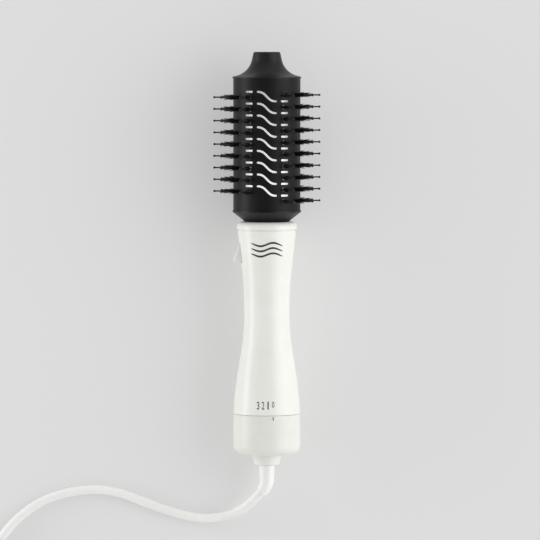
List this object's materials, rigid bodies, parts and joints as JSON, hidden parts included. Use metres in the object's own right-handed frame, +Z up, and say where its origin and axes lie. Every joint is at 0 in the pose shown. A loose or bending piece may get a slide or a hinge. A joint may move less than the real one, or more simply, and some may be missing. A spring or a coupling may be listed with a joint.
{
  "type": "hot air brush",
  "caption": "Corded hot air styler: slotted round brush head with ball-tipped pins on a waisted handle with a release button, a rotary switch and a swivel lead.",
  "frame": {"origin": "centre of the underside of the brush as it lies on its back, on the surface, its lead, coil and plug left out", "axes": "+Y from the foot of the handle towards the tip, +Z up through the front, +X to the right"},
  "size_m": [0.2645, 0.5092, 0.0765],
  "materials": {
    "white_shell": "satin-gloss moulded ABS",
    "grey_dial": "satin moulded ABS",
    "white_grille": "moulded ABS",
    "black_coat": "black ceramic coat, satin",
    "black_cap": "satin heat-proof nylon",
    "black_pins": "moulded nylon",
    "black_bristle": "bristle",
    "bright_liner": "bright drawn",
    "spigot_grey": "glass-filled nylon",
    "mica": "mica laminate",
    "heat_wire": "resistance wire",
    "steel": "zinc-plated",
    "spring_steel": "drawn",
    "motor_steel": "plated can",
    "fan_nylon": "moulded nylon",
    "duct_nylon": "moulded nylon",
    "board": "glass laminate",
    "contact_brass": "pressed",
    "filter_mesh": "woven mesh",
    "cord_white": "PVC sheath",
    "pin_plate": "nickel-plated"
  },
  "bodies": {
    "handle": {"grip_front": "white_shell", "grip_rear": "white_shell", "grip_screws": "steel", "top_collar": "white_shell", "outlet_spigot": "spigot_grey", "outlet_grid": "spigot_grey", "mica_sleeve": "mica", "mica_board_a": "mica", "mica_board_b": "mica", "heating_coil": "heat_wire", "thermostat": "steel", "thermal_fuse": "pin_plate", "heater_base": "spigot_grey", "fan_housing": "duct_nylon", "motor_mount": "duct_nylon", "motor_can": "motor_steel", "motor_end_bell": "black_cap", "base_core": "duct_nylon", "switch_board": "board", "switch_contacts": "contact_brass", "detent_ball": "steel", "detent_spring": "spring_steel", "intake_grille": "white_grille", "base_screws": "steel", "dust_filter": "filter_mesh", "swivel_housing": "white_shell", "contact_brushes": "contact_brass", "release_spring": "spring_steel"},
    "brush_head": {"barrel": "black_coat", "air_guide": "bright_liner", "pin_strips": "black_pins", "bristle_tufts": "black_bristle", "barrel_collar": "black_cap", "end_ring": "black_cap", "tip_cap": "black_cap", "tie_bolt": "steel"},
    "button": {"release_button": "white_shell", "release_latch": "spigot_grey"},
    "dial": {"dial_ring": "grey_dial", "dial_wiper": "contact_brass"},
    "fan": {"impeller": "fan_nylon", "motor_shaft": "steel"},
    "cord": {"swivel_stem": "spigot_grey", "slip_rings": "contact_brass", "strain_relief": "cord_white", "cord_lead": "cord_white", "cord_coil": "cord_white", "plug_body": "cord_white", "plug_pins": "pin_plate"}
  },
  "joints": [
    {"name": "head_pull", "type": "slide", "parent": "handle", "child": "brush_head", "axis": [0, 0.9986, 0.0533], "range_m": [0, 0.024]},
    {"name": "button_press", "type": "slide", "parent": "handle", "child": "button", "axis": [1, 0, 0], "range_m": [0, 0.002], "stiffness_N_per_m": 1500, "springref_m": -0.0004, "deforming": ["release_spring"]},
    {"name": "dial_turn", "type": "hinge", "parent": "handle", "child": "dial", "pos_m": [0, -0.13615, 0.02633], "axis": [0, -0.9986, -0.0533], "range_deg": [0, 26.1]},
    {"name": "fan_spin", "type": "hinge", "parent": "handle", "child": "fan", "pos_m": [0, -0.10169, 0.02817], "axis": [0, 0.9986, 0.0533], "continuous": true},
    {"name": "cord_swivel", "type": "hinge", "parent": "handle", "child": "cord", "pos_m": [0, -0.15113, 0.02553], "axis": [0, 0.9986, 0.0533], "continuous": true}
  ]
}
